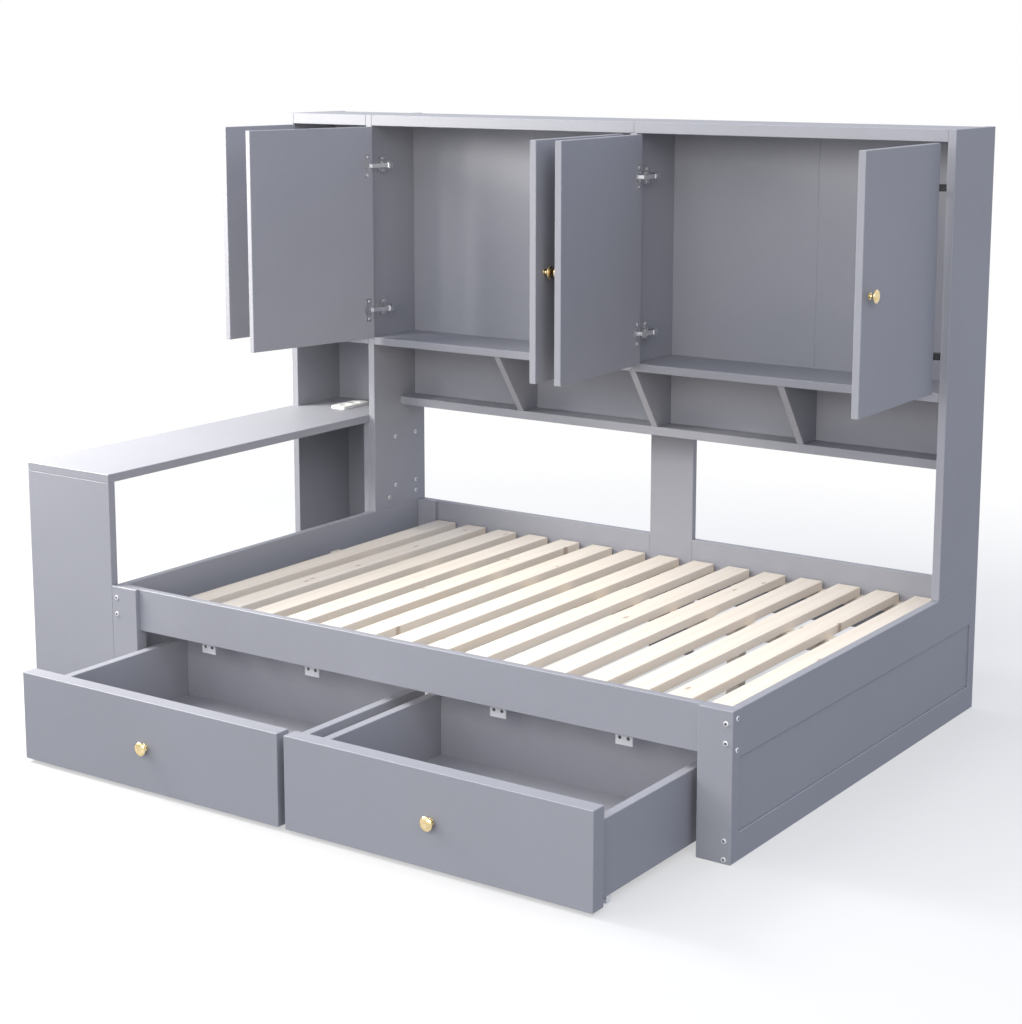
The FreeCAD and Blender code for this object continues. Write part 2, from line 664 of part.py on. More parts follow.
# Drawers, pulled out as photographed: the rear of each is kept under the bed
drawer_end = front + dim.drawer_kept_under
drawer_y = drawer_end - dim.drawer_depth
front_back = drawer_y + dim.drawer_front_board
back_wall_front = drawer_end - dim.drawer_wall_board
bottom_high = dim.drawer_bottom_low + dim.drawer_bottom_board
for end, sign in (("left", -1), ("right", 1)):
    name = f"{end}_drawer"
    near = dim.drawer_middle_gap / 2
    far = post_inner - dim.drawer_side_gap
    node(f"{name}_front", [board(f"{name}_front_board", (near * sign, far * sign), (drawer_y, front_back),
                                 (dim.drawer_front_low, dim.drawer_front_high))])
    wall_faces = []
    wall_middles = []
    walls = []
    sides = [("near", near + dim.drawer_wall_inset, 1), ("far", far - dim.drawer_wall_inset, -1)]
    for side, outer, inward in sides:
        inner = outer + dim.drawer_wall_board * inward
        groove = inner - dim.groove_depth * inward
        wall_faces.append((inner, groove))
        wall_middles.append((side, (outer + inner) / 2 * sign))
        side_wall = board(f"{name}_{side}_side", (outer * sign, inner * sign), (front_back, drawer_end),
                          (dim.drawer_wall_low, dim.drawer_side_high))
        groove_sketch = new_sketch(side_wall, "XZ_Plane", -front_back)
        groove_mouth = inner + dim.cut_overrun * inward
        draw_outline(groove_sketch, corners(span(groove * sign, groove_mouth * sign),
                                            (dim.drawer_bottom_low - dim.drawer_wall_low,
                                             bottom_high - dim.drawer_wall_low)))
        add_pocket(side_wall, groove_sketch, dim.drawer_depth)
        walls.append(side_wall)
    (near_face, near_groove), (far_face, far_groove) = wall_faces
    walls.append(board(f"{name}_back_wall", (near_face * sign, far_face * sign), (back_wall_front, drawer_end),
                       (dim.drawer_wall_low, dim.drawer_back_high)))
    node(f"{name}_walls", walls)
    bottom = new_body(f"{name}_bottom_board")
    bottom_sketch = new_sketch(bottom, "XY_Plane")
    bottom_x = span(near_groove * sign, far_groove * sign)
    draw_outline(bottom_sketch, corners(bottom_x, (front_back, back_wall_front)))
    add_pad(bottom, bottom_sketch, dim.drawer_bottom_board)
    place(bottom, z=dim.drawer_bottom_low)
    node(f"{name}_bottom", [bottom])
    knob_x = (near + far) / 2 * sign
    node(f"{name}_knob", [knob(f"{name}_knob_turning", knob_x, drawer_y, dim.drawer_knob_height)])
    forks = []
    for row, axle_y in (("front", drawer_y + dim.castor_front), ("rear", drawer_end - dim.castor_back)):
        wheels = []
        for side, middle in wall_middles:
            half_fork = dim.fork_width / 2
            cheek = half_fork - dim.fork_sheet
            plate_low = dim.drawer_wall_low - dim.fork_sheet
            fork = new_body(f"{name}_{row}_{side}_fork")
            fork_sketch = new_sketch(fork, "XZ_Plane")
            draw_outline(fork_sketch, [(middle - half_fork, dim.fork_low), (middle - cheek, dim.fork_low),
                                       (middle - cheek, plate_low), (middle + cheek, plate_low),
                                       (middle + cheek, dim.fork_low), (middle + half_fork, dim.fork_low),
                                       (middle + half_fork, dim.drawer_wall_low),
                                       (middle - half_fork, dim.drawer_wall_low)])
            add_pad(fork, fork_sketch, dim.fork_length, side="Symmetric")
            axle = new_sketch(fork, "YZ_Plane", middle)
            draw_circle(axle, (0, dim.wheel_radius), dim.axle_radius)
            add_pad(fork, axle, dim.fork_width, side="Symmetric")
            place(fork, y=axle_y)
            forks.append(fork)
            bore_radius = dim.axle_radius + dim.axle_clearance
            half_wheel = dim.wheel_width / 2
            wheel_profile = [(-half_wheel, bore_radius), (-half_wheel, dim.wheel_radius),
                             (half_wheel, dim.wheel_radius), (half_wheel, bore_radius)]
            wheels.append(turned(f"{name}_{row}_{side}_wheel", "x", 1, (middle, axle_y, dim.wheel_radius),
                                 wheel_profile))
        node(f"{name}_{row}_wheels", wheels)
    node(f"{name}_castor_forks", forks)

# Drawer stops: angle plates under the front ledger that catch the drawers' back walls
stop_face = front_rail_back + dim.stop_from_rail
stop_top = slat_low - dim.ledger_height
stop_outline = [(stop_face, dim.stop_low), (stop_face + dim.stop_sheet, dim.stop_low),
                (stop_face + dim.stop_sheet, stop_top - dim.stop_sheet),
                (stop_face + dim.stop_flange, stop_top - dim.stop_sheet),
                (stop_face + dim.stop_flange, stop_top), (stop_face, stop_top)]
stops = []
stop_places = (near + dim.stop_from_near, far - dim.stop_from_far)
for number, middle in enumerate([spot * sign for sign in (-1, 1) for spot in stop_places], start=1):
    stop = new_body(f"stop_{number}")
    stop_sketch = new_sketch(stop, "YZ_Plane")
    draw_outline(stop_sketch, stop_outline)
    add_pad(stop, stop_sketch, dim.stop_width)
    place(stop, x=middle - dim.stop_width / 2)
    stops.append(stop)
node("stop_plates", stops)

doc.recompute()
os.makedirs("parts", exist_ok=True)
for piece in nodes:
    if "Invalid" in piece.State or "Error" in piece.State:
        raise RuntimeError(f"{piece.Label} did not build: {piece.State}")
    if piece.Shape.isNull() or not piece.Shape.isValid():
        raise RuntimeError(f"{piece.Label} has no valid shape")
    piece.Shape.exportStep(f"parts/{piece.Label}.step")
    print(piece.Label, len(piece.Shape.Solids), round(piece.Shape.Volume))
print("pieces", len(nodes))
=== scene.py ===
import json
import math

import bpy
import numpy as np
from mathutils import Matrix


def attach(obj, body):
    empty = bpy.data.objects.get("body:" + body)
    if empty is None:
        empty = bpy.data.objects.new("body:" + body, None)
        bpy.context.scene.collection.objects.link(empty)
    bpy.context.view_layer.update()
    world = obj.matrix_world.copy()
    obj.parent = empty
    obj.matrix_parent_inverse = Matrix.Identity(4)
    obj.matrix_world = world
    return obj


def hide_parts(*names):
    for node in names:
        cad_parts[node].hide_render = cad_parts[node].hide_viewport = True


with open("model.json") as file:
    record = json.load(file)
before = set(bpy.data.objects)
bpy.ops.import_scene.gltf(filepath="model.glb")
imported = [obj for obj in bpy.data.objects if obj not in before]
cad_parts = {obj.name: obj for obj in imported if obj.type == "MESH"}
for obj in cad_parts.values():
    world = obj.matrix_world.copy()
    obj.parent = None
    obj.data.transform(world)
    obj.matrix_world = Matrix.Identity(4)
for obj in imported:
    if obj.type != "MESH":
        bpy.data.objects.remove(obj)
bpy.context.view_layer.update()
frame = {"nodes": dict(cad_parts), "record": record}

nodes = frame["nodes"]
mm = 0.001  # the pieces are given in millimetres of the CAD frame, the finishes and the set in metres
print("frame loaded:", len(nodes), "nodes")


# Shapes: each gives (points, faces) with its foot at the origin and its axis along +z

def roundTurns(columns):
    # equal angles once round, the last one short of the first
    return np.linspace(0, 2 * np.pi, columns, endpoint=False)


def gridFaces(rows, columns):
    # quads between neighbouring rows of a grid whose columns close on themselves
    row, column = np.meshgrid(np.arange(rows - 1), np.arange(columns), indexing="ij")
    following = (column + 1) % columns
    corners = (row * columns + column, row * columns + following,
               (row + 1) * columns + following, (row + 1) * columns + column)
    return np.stack(corners, axis=-1).reshape(-1, 4)


def capFaces(pole, ringStart, columns):
    # triangles from a pole to the ring of points that begins at ringStart
    column = np.arange(columns)
    following = (column + 1) % columns
    return np.stack([np.full(columns, pole), ringStart + column, ringStart + following], axis=-1)


def turnedShape(profile, columns, stretch=None):
    # a profile of (height, radius) rows carried round z: (r cos t, r sin t, height), where
    # stretch(row, t) may push the radius in or out; a pole closes each end
    height, radius = np.asarray(profile, float).T
    turn = roundTurns(columns)
    reach = np.outer(radius, np.ones(columns))
    if stretch is not None:
        reach = reach * stretch(np.arange(len(radius))[:, None], turn[None, :])
    level = np.outer(height, np.ones(columns))
    points = np.stack([reach * np.cos(turn), reach * np.sin(turn), level], axis=-1).reshape(-1, 3)
    poles = [[0, 0, height[0]], [0, 0, height[-1]]]
    foot = capFaces(len(points), 0, columns)[:, ::-1]  # faces down
    cap = capFaces(len(points) + 1, (len(height) - 1) * columns, columns)
    faces = gridFaces(len(height), columns).tolist() + foot.tolist() + cap.tolist()
    return np.vstack([points, poles]), faces


def ringShape(profile, columns):
    # a closed profile of (height, radius) rows carried round z, a ring with a bore
    height, radius = np.asarray(profile, float).T
    turn = roundTurns(columns)
    points = np.stack([np.outer(radius, np.cos(turn)), np.outer(radius, np.sin(turn)),
                       np.outer(height, np.ones(columns))], axis=-1).reshape(-1, 3)
    closed = gridFaces(len(height) + 1, columns) % len(points)
    return points, closed.tolist()


def smoothCurve(points, steps):
    # a smooth curve through the points: each span is a cubic of its two ends and their neighbours
    knots = np.asarray(points, float)
    padded = np.vstack([2 * knots[0] - knots[1], knots, 2 * knots[-1] - knots[-2]])
    share = np.linspace(0, 1, steps, endpoint=False)[None, :, None]
    before, start, end, after = (padded[at:len(padded) - 3 + at, None, :] for at in range(4))
    spans = 0.5 * (2 * start + (end - before) * share
                   + (2 * before - 5 * start + 4 * end - after) * share ** 2
                   + (3 * start - before - 3 * end + after) * share ** 3)
    return np.vstack([spans.reshape(-1, 2), knots[-1:]])


def stood(shape, foot, axis):
    # stands a shape at foot with its z axis turned to the given direction
    points, faces = shape
    lift = np.asarray(axis, float) / np.linalg.norm(axis)
    helper = np.array([0, 0, 1.0]) if abs(lift[2]) < 0.9 else np.array([1.0, 0, 0])
    side = np.cross(helper, lift)
    side /= np.linalg.norm(side)
    basis = np.stack([side, np.cross(lift, side), lift])
    return points @ basis + np.asarray(foot, float), faces


def joined(shapes):
    # several shapes as one, each one's faces counted on from the last one's points
    points = np.vstack([shape[0] for shape in shapes])
    starts = np.cumsum([0] + [len(shape[0]) for shape in shapes[:-1]])
    faces = [[index + start for index in face]
             for start, shape in zip(starts, shapes) for face in shape[1]]
    return points, faces


def addPiece(name, shape, finish, body, sharpAngle=30, turnRadius=None):
    mesh = bpy.data.meshes.new(name)
    mesh.from_pydata((shape[0] * mm).tolist(), [], shape[1])
    if turnRadius is not None:  # each point's radius, which the lathe lines of turned metal follow
        mark = mesh.attributes.new("turnRadius", "FLOAT", "POINT")
        mark.data.foreach_set("value", np.asarray(turnRadius, np.float32))
    mesh.update()
    mesh.shade_smooth()
    mesh.set_sharp_from_angle(angle=math.radians(sharpAngle))
    mesh.materials.append(finish)
    piece = bpy.data.objects.new(name, mesh)
    bpy.context.scene.collection.objects.link(piece)
    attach(piece, body)
    return piece


def addTurned(name, shape, places, finish, body, sharpAngle=30):
    # a turned shape at each (foot, axis) of places, as one piece
    radius = np.hypot(shape[0][:, 0], shape[0][:, 1])
    copies = joined([stood(shape, foot, axis) for foot, axis in places])
    return addPiece(name, copies, finish, body, sharpAngle, np.tile(radius, len(places)))


# Finishes: arithmetic on a Wire adds Math nodes, every other node comes from Nodes.node

class Wire:
    def __init__(self, socket):
        self.socket = socket

    def work(self, operation, other=0.0, swapped=False):
        node = self.socket.id_data.nodes.new("ShaderNodeMath")
        node.operation = operation
        plug(node.inputs[1 if swapped else 0], self)
        plug(node.inputs[0 if swapped else 1], other)
        return Wire(node.outputs[0])

    def __add__(self, other):
        return self.work("ADD", other)

    def __radd__(self, other):
        return self.work("ADD", other, True)

    def __sub__(self, other):
        return self.work("SUBTRACT", other)

    def __rsub__(self, other):
        return self.work("SUBTRACT", other, True)

    def __mul__(self, other):
        return self.work("MULTIPLY", other)

    def __rmul__(self, other):
        return self.work("MULTIPLY", other, True)

    def __truediv__(self, other):
        return self.work("DIVIDE", other)

    def __rtruediv__(self, other):
        return self.work("DIVIDE", other, True)

    def __pow__(self, other):
        return self.work("POWER", other)

    def __rpow__(self, other):
        return self.work("POWER", other, True)

    def __abs__(self):
        return self.work("ABSOLUTE")


def plug(socket, value):
    if isinstance(value, Wire):
        socket.id_data.links.new(value.socket, socket)
    elif isinstance(value, tuple) and len(value) == 3 and socket.type == "RGBA":
        socket.default_value = (*value, 1)
    else:
        socket.default_value = value


class Nodes:
    def __init__(self, tree):
        self.tree = tree

    def node(self, kind, settings, sockets, out=0):
        node = self.tree.nodes.new(kind)
        for setting, value in settings.items():
            setattr(node, setting, value)
        for socket, value in sockets.items():
            plug(node.inputs[socket], value)
        return Wire(node.outputs[out])

    def split(self, vector):
        first = self.node("ShaderNodeSeparateXYZ", {}, {"Vector": vector})
        return [Wire(output) for output in first.socket.node.outputs]


class Finish(Nodes):
    def __init__(self, name, fixed):
        self.material = bpy.data.materials.new(name)
        self.material.use_nodes = True
        super().__init__(self.material.node_tree)
        self.shader = self.tree.nodes["Principled BSDF"]
        self.put(fixed)

    def put(self, values):
        for socket, value in values.items():
            plug(self.shader.inputs[socket], value)

    def place(self, scale=(1, 1, 1)):
        spot = self.node("ShaderNodeTexCoord", {}, {}, "Object")
        return self.node("ShaderNodeMapping", {}, {"Vector": spot, "Scale": scale})

    def noise(self, spot, scale, detail=2.0, rough=0.5):
        return self.node("ShaderNodeTexNoise", {},
                         {"Vector": spot, "Scale": scale, "Detail": detail, "Roughness": rough})

    def chance(self, number):
        # one even random share for each number
        return self.node("ShaderNodeTexWhiteNoise", {"noise_dimensions": "1D"}, {"W": number})

    def step(self, value, low, high, lowTo=0.0, highTo=1.0):
        return self.node("ShaderNodeMapRange", {"interpolation_type": "SMOOTHSTEP"},
                         {"Value": value, "From Min": low, "From Max": high,
                          "To Min": lowTo, "To Max": highTo})

    def mix(self, share, first, second):
        # sockets 6 and 7 and output 2 are the colours of this node
        return self.node("ShaderNodeMix", {"data_type": "RGBA"}, {0: share, 6: first, 7: second}, 2)

    def bump(self, height, strength, distance):
        return self.node("ShaderNodeBump", {}, {"Height": height, "Strength": strength, "Distance": distance})

    def easedEdges(self):
        # the normal's largest part is near 1 on the flats, which give 0, and less on the bevels, which give 1
        x, y, z = self.split(self.node("ShaderNodeTexCoord", {}, {}, "Normal"))
        largest = abs(x).work("MAXIMUM", abs(y).work("MAXIMUM", abs(z)))
        return self.step(largest, 0.9, 0.96, 1.0, 0.0)


# the rubbed edge colour is partly worn paint and partly a painted highlight on the bevels
paintLook = {"colour": (0.302, 0.306, 0.339), "deep": (0.286, 0.290, 0.321), "rubbedAndHighlit": (0.340, 0.344, 0.378),
             "specular": 0.36, "roughness": 0.46, "coat": 0.04, "coatRoughness": 0.35,
             "driftScale": 2.3, "sprayScale": 38.0, "pitScale": 150.0, "peelScale": 625.0,
             "bump": 0.10, "bumpDepth": 0.0004}


def paintedBoard():
    look = paintLook
    finish = Finish("greySatinPaint", {"Specular IOR Level": look["specular"],
                                       "Coat Roughness": look["coatRoughness"]})
    spot = finish.place()
    drift = finish.noise(spot, look["driftScale"], 3.0)       # slow change from board to board
    spray = finish.noise(spot, look["sprayScale"], 4.0, 0.6)  # faint mottling from the spray gun
    peel = finish.noise(spot, look["peelScale"], 1.0)         # orange peel
    pits = finish.noise(spot, look["pitScale"])               # fine pits
    body = finish.mix(finish.step(drift * 0.7 + spray * 0.3, 0.3, 0.7), look["deep"], look["colour"])
    edge = finish.easedEdges()
    wornAndHighlit = edge * finish.step(spray + pits * 0.4, 0.45, 0.95, 0.25, 0.85)  # rubbed pale along the edges, and a painted highlight on the bevels there too
    finish.put({"Base Color": finish.mix(wornAndHighlit, body, look["rubbedAndHighlit"]),
                "Roughness": look["roughness"] + spray * 0.08 - edge * 0.05 + pits * 0.04,
                "Coat Weight": look["coat"] + drift * 0.04,
                "Normal": finish.bump(peel + pits * 0.5, look["bump"], look["bumpDepth"])})
    return finish.material


# scales are given across the grain, along it and up
pineLook = {"pale": (0.78, 0.695, 0.59), "late": (0.71, 0.59, 0.45), "white": (0.80, 0.73, 0.64),
            "knot": (0.32, 0.19, 0.10), "specular": 0.35, "roughness": 0.5,
            "firstSlat": -912.75, "slatPitch": 121.7, "railsPerMetre": 9.0,
            "bendScale": (2.0, 0.35, 2.0), "fibreScale": (420.0, 5.0, 420.0), "knotScale": (8.2, 3.4, 0.0),
            "ringsAcross": 70, "ringsUp": 45, "ringBend": 9, "ringShift": 20, "ringScale": 2.2,
            "knotsPerMetre": 3.1, "bump": 0.12, "bumpDepth": 0.0006}


def pineBoard(name, along):
    # grain runs along one axis, 0 for x or 1 for y: rings are waves across it, bent by a slow noise and
    # shifted board by board
    look = pineLook
    finish = Finish(name, {"Specular IOR Level": look["specular"]})

    def grainPlace(scale):
        across, lengthwise, up = scale
        turned = [across, across, up]
        turned[along] = lengthwise
        return finish.place(tuple(turned))

    x, y, z = finish.split(finish.place())
    if along == 1:  # slats, side by side in x
        across, lengthwise = x, y
        board = ((x - look["firstSlat"] * mm) / (look["slatPitch"] * mm)).work("FLOOR")
    else:
        across, lengthwise = y, x
        board = (y * look["railsPerMetre"]).work("FLOOR")
    chance = finish.chance(board)
    shift = finish.node("ShaderNodeCombineXYZ", {}, {0: chance * 7, 1: chance * 13, 2: chance * 5})
    shifted = finish.node("ShaderNodeVectorMath", {"operation": "ADD"},
                          {0: grainPlace(look["bendScale"]), 1: shift})
    bend = finish.noise(shifted, 1.6)
    ringPlace = (across * look["ringsAcross"] + z * look["ringsUp"] * (chance - 0.3)
                 + bend * look["ringBend"] + chance * look["ringShift"]) * look["ringScale"]
    rings = ringPlace.work("SINE") * 0.5 + 0.5
    fine = finish.noise(grainPlace(look["fibreScale"]), 1.0, 2.0, 0.6)
    knotMap = finish.node("ShaderNodeTexVoronoi", {"voronoi_dimensions": "2D"},
                          {"Vector": grainPlace(look["knotScale"]), "Scale": 1.0, "Randomness": 1.0})
    knotHere = finish.chance((lengthwise * look["knotsPerMetre"]).work("FLOOR") + board * 0.37)
    knot = finish.step(knotMap + bend * 0.05, 0.045, 0.085, 1.0, 0.0) * finish.step(knotHere, 0.62, 0.64)
    grain = finish.step(rings ** 2.2 * 0.75 + fine * 0.3, 0.15, 0.95)
    body = finish.mix(grain * 0.42, look["white"], look["late"])
    body = finish.mix(0.25 + chance * 0.35, body, look["pale"])
    finish.put({"Base Color": finish.mix(knot * 0.62, body, look["knot"]),
                "Roughness": look["roughness"] + fine * 0.18 - knot * 0.1,
                "Normal": finish.bump(rings * 0.4 + fine, look["bump"], look["bumpDepth"])})
    return finish.material


metalLooks = {
    "brass": {"pale": (0.84, 0.70, 0.43), "deep": (0.68, 0.53, 0.28), "roughness": 0.20, "metal": 1.0},
    "zinc": {"pale": (0.82, 0.82, 0.83), "deep": (0.70, 0.70, 0.72), "roughness": 0.30, "metal": 0.30},
    "pressed": {"pale": (0.66, 0.67, 0.69), "deep": (0.52, 0.53, 0.56), "roughness": 0.26, "metal": 1.0,
                "shadeFrom": 850.0, "shadeEase": 1.0, "paintedShade": (0.04, 0.04, 0.043)},
    "bright": {"pale": (0.88, 0.88, 0.89), "deep": (0.76, 0.76, 0.78), "roughness": 0.20, "metal": 1.0},
    # painted shade: the dark look stands in for shade, on the stop screws and on door 5's hinge links
    "dark": {"pale": (0.20, 0.20, 0.22), "deep": (0.10, 0.10, 0.11), "roughness": 0.40, "metal": 0.6}}
metalLooks["bolt"] = {**metalLooks["zinc"], "socket": 3.9, "socketEase": 0.2, "sunk": (0.22, 0.22, 0.24)}
latheLook = {"lineScale": 2.6, "tarnishScale": 90.0, "gritScale": 900.0, "polish": 0.08,
             "bump": 0.06, "bumpDepth": 0.0002}
platingLook = {"cellScale": 260.0, "hazeScale": 60.0, "rubScale": (900.0, 60.0, 900.0), "polish": 0.1,
               "bump": 0.05, "bumpDepth": 0.0002}


def turnedMetal(name, look):
    # lathe lines follow the radius that each turned piece carries, over a soft tarnish
    finish = Finish(name, {"Metallic": look["metal"]})
    radius = finish.node("ShaderNodeAttribute", {"attribute_name": "turnRadius"}, {}, "Fac")
    spot = finish.place()
    line = finish.node("ShaderNodeTexNoise", {"noise_dimensions": "1D"},
                       {"W": radius, "Scale": latheLook["lineScale"], "Detail": 3.0})
    tarnish = finish.noise(spot, latheLook["tarnishScale"], 3.0)
    grit = finish.noise(spot, latheLook["gritScale"])
    tone = finish.mix(finish.step(tarnish, 0.3, 0.75), look["deep"], look["pale"])
    if "socket" in look:  # painted shade: darker within the key socket's radius, where the hollow is in shade
        outside = finish.step(radius, look["socket"] - look["socketEase"], look["socket"])
        tone = finish.mix(outside, look["sunk"], tone)
    roughness = look["roughness"] - latheLook["polish"]
    finish.put({"Base Color": tone,
                "Roughness": roughness + line * 0.1 + tarnish * 0.08 + grit * 0.04,
                "Normal": finish.bump(line + grit * 0.3, latheLook["bump"], latheLook["bumpDepth"])})
    return finish.material


def platedSteel(name, look):
    # zinc plating: small crystal cells, a little darker between them
    finish = Finish(name, {"Metallic": look["metal"]})
    spot = finish.place()
    cells = finish.node("ShaderNodeTexVoronoi", {"feature": "F1"},
                        {"Vector": spot, "Scale": platingLook["cellScale"]})
    haze = finish.noise(spot, platingLook["hazeScale"], 4.0)
    rub = finish.noise(finish.place(platingLook["rubScale"]), 1.0)
    tone = finish.mix(finish.step(cells * 0.5 + haze * 0.7, 0.3, 0.8), look["deep"], look["pale"])
    if "shadeFrom" in look:  # painted shade: the hinges by the right end, past this x, are painted near black for the shade between door 5 and the end panel
        x = finish.split(spot)[0]
        paintedShade = finish.step(x, look["shadeFrom"] * mm, (look["shadeFrom"] + look["shadeEase"]) * mm)
        tone = finish.mix(paintedShade, tone, look["paintedShade"])
    roughness = look["roughness"] - platingLook["polish"]
    finish.put({"Base Color": tone,
                "Roughness": roughness + haze * 0.16 + rub * 0.06,
                "Normal": finish.bump(rub + cells * 0.4, platingLook["bump"], platingLook["bumpDepth"])})
    return finish.material


whiteLooks = {
    "plastic": {"colour": (0.80, 0.80, 0.79), "aged": (0.74, 0.735, 0.71), "roughness": 0.34, "grit": 1400.0},
    "enamel": {"colour": (0.70, 0.70, 0.71), "aged": (0.62, 0.62, 0.63), "roughness": 0.42, "grit": 700.0}}
# the rubbed white lightens the bevels: partly wear, partly a painted highlight
whiteShared = {"specular": 0.5, "cloudScale": 25.0, "rubbedAndHighlit": (0.9, 0.9, 0.9), "rubAndHighlightShare": 0.3,
               "bump": 0.09, "bumpDepth": 0.0003}


def whiteCoat(name, look):
    finish = Finish(name, {"Specular IOR Level": whiteShared["specular"]})
    spot = finish.place()
    cloud = finish.noise(spot, whiteShared["cloudScale"], 3.0)
    stipple = finish.noise(spot, look["grit"], 1.0)
    # painted highlight and wear: the bevels are lightened towards the rubbed white
    wornAndHighlit = finish.easedEdges() * whiteShared["rubAndHighlightShare"]
    tone = finish.mix(finish.step(cloud, 0.35, 0.75), look["colour"], look["aged"])
    finish.put({"Base Color": finish.mix(wornAndHighlit, tone, whiteShared["rubbedAndHighlit"]),
                "Roughness": look["roughness"] + cloud * 0.1 + stipple * 0.06,
                "Normal": finish.bump(stipple, whiteShared["bump"], whiteShared["bumpDepth"])})
    return finish.material


holeShadeLook = {"dark": (0.012, 0.012, 0.014), "lighterShade": (0.045, 0.045, 0.05), "shadeMottleScale": 500.0,
              "specular": 0.2, "roughness": 0.7}


# painted shade: near black, a little mottled, for the shade inside the outlet's pin holes
def paintedHoleShade():
    finish = Finish("paintedHoleShade", {"Specular IOR Level": holeShadeLook["specular"]})
    shadeMottle = finish.noise(finish.place(), holeShadeLook["shadeMottleScale"])
    finish.put({"Base Color": finish.mix(shadeMottle, holeShadeLook["dark"], holeShadeLook["lighterShade"]),
                "Roughness": holeShadeLook["roughness"] + shadeMottle * 0.2})
    return finish.material


brass = turnedMetal("brassTurned", metalLooks["brass"])
zincTurned = turnedMetal("zincTurned", metalLooks["zinc"])
darkTurned = turnedMetal("darkTurned", metalLooks["dark"])
boltMetal = turnedMetal("boltMetal", metalLooks["bolt"])
pressedSteel = platedSteel("pressedSteel", metalLooks["pressed"])
brightSteel = platedSteel("brightSteel", metalLooks["bright"])
whitePlastic = whiteCoat("whitePlastic", whiteLooks["plastic"])
holeShade = paintedHoleShade()
slotFinishes = {"grey_paint": paintedBoard(), "pine": pineBoard("pineAcross", 0), "brass": brass,
                "steel": platedSteel("zincPlate", metalLooks["zinc"]), "white_plastic": whitePlastic,
                "white_metal": whiteCoat("whiteEnamel", whiteLooks["enamel"])}
nodeFinishes = {"slats": pineBoard("pineSlat", 1), "hinge_arms": pressedSteel}
nodeFinishes.update({node: pressedSteel for node in nodes if "hinge_cups" in node})
nodeFinishes.update({node: brightSteel for node in nodes if "hinge_links" in node})
nodeFinishes["door_5_hinge_links"] = platedSteel("shadedHingeSteel", metalLooks["dark"])  # painted shade: dark like its arms, for the shade between door 5 and the end panel
for subpart in frame["record"]["subparts"]:
    nodeMaterials = nodes[subpart["node"]].data.materials
    nodeMaterials.clear()
    nodeMaterials.append(nodeFinishes.get(subpart["node"], slotFinishes[subpart["material_slot"]]))
print("finishes:", len(bpy.data.materials))


# Doors and drawers: face is the panel that carries the hinges, hand is +1 where the door leaves it towards +x

doors = {1: {"face": -1286.0, "hand": 1, "width": 292.0, "angle": 96.75},
         2: {"face": -965.0, "hand": 1, "width": 472.25, "angle": 102.25},
         3: {"face": -11.5, "hand": -1, "width": 472.25, "angle": 91.75},
         4: {"face": 11.5, "hand": 1, "width": 472.25, "angle": 86.25},
         5: {"face": 965.0, "hand": -1, "width": 472.25, "angle": 91.0}}
drawerHands = {"left": -1, "right": 1}  # each drawer's side of x
hingePlan = {"pivotIn": 5.0, "pivotY": -271.0, "edge": 8.0, "outerFace": 15.0,
             "rows": (1036.0, 1490.0), "cup": 30.5, "headFront": -256.0}


def doorSpot(door, x, y, z):
    # a point of the closed door's own frame, carried to where the open door stands
    turn = math.radians(-door["angle"] * door["hand"])
    pivotX = door["face"] - hingePlan["pivotIn"] * door["hand"]
    return np.array([pivotX + x * math.cos(turn) - y * math.sin(turn),
                     hingePlan["pivotY"] + x * math.sin(turn) + y * math.cos(turn), z])


def doorAxis(door, y):
    # the open door's own y direction, times y
    return doorSpot(door, 0, y, 0) - doorSpot(door, 0, 0, 0)


knobLook = {"profile": [(0, 8.9), (0.7, 9.5), (2.4, 9.3), (3.3, 7.4), (5.2, 5.4), (9.0, 4.8), (11.8, 5.4),
                        (13.4, 8.4), (14.8, 13.4), (16.4, 17.0), (18.0, 18.0), (19.8, 17.4), (22.0, 14.4),
                        (23.8, 9.8), (24.7, 5.0), (25, 0.4)],
            "columns": 56, "steps": 4, "sharpAngle": 50, "fromEdge": 46.0, "doorHeight": 1250.15,
            "drawerMiddle": 448.0, "drawerFace": -1849.0, "drawerHeight": 125.0}
knobShape = turnedShape(smoothCurve(knobLook["profile"], knobLook["steps"]), knobLook["columns"])


def addKnob(node, body, foot, axis):
    knob = addTurned(f"{body}_turnedKnob", knobShape, [(foot, axis)], brass, body,
                     knobLook["sharpAngle"])
    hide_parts(node)


for number, door in doors.items():
    knobX = (hingePlan["edge"] + door["width"] - knobLook["fromEdge"]) * door["hand"]
    addKnob(f"door_{number}_knob", f"door_{number}",
            doorSpot(door, knobX, hingePlan["outerFace"], knobLook["doorHeight"]), doorAxis(door, -1))
for end, hand in drawerHands.items():
    addKnob(f"{end}_drawer_knob", f"{end}_drawer",
            (knobLook["drawerMiddle"] * hand, knobLook["drawerFace"], knobLook["drawerHeight"]), (0, -1, 0))
print("knobs:", len(doors) + len(drawerHands))


# Screws of the hinges: two on each cup's wings, two on each wall plate and one to set the arm

screwLook = {"wingRadius": 3.6, "plateRadius": 3.8, "setRadius": 2.9, "rise": 1.5, "depth": 1.0,
             "rings": 9, "columns": 32, "rim": 0.45,  # share of the rise
             "slot": 0.17, "slotEase": 0.05, "slotEnd": 0.66, "endEase": 0.08, "inner": 0.03,  # of the radius
             "wingDrop": 28.0, "wingFace": 36.2, "plateDrop": 19.0, "plateDepth": 49.0, "plateOut": 3.0,
             "setDepth": 54.0, "setOut": 31.85, "setAxis": (0.409, 0.913)}


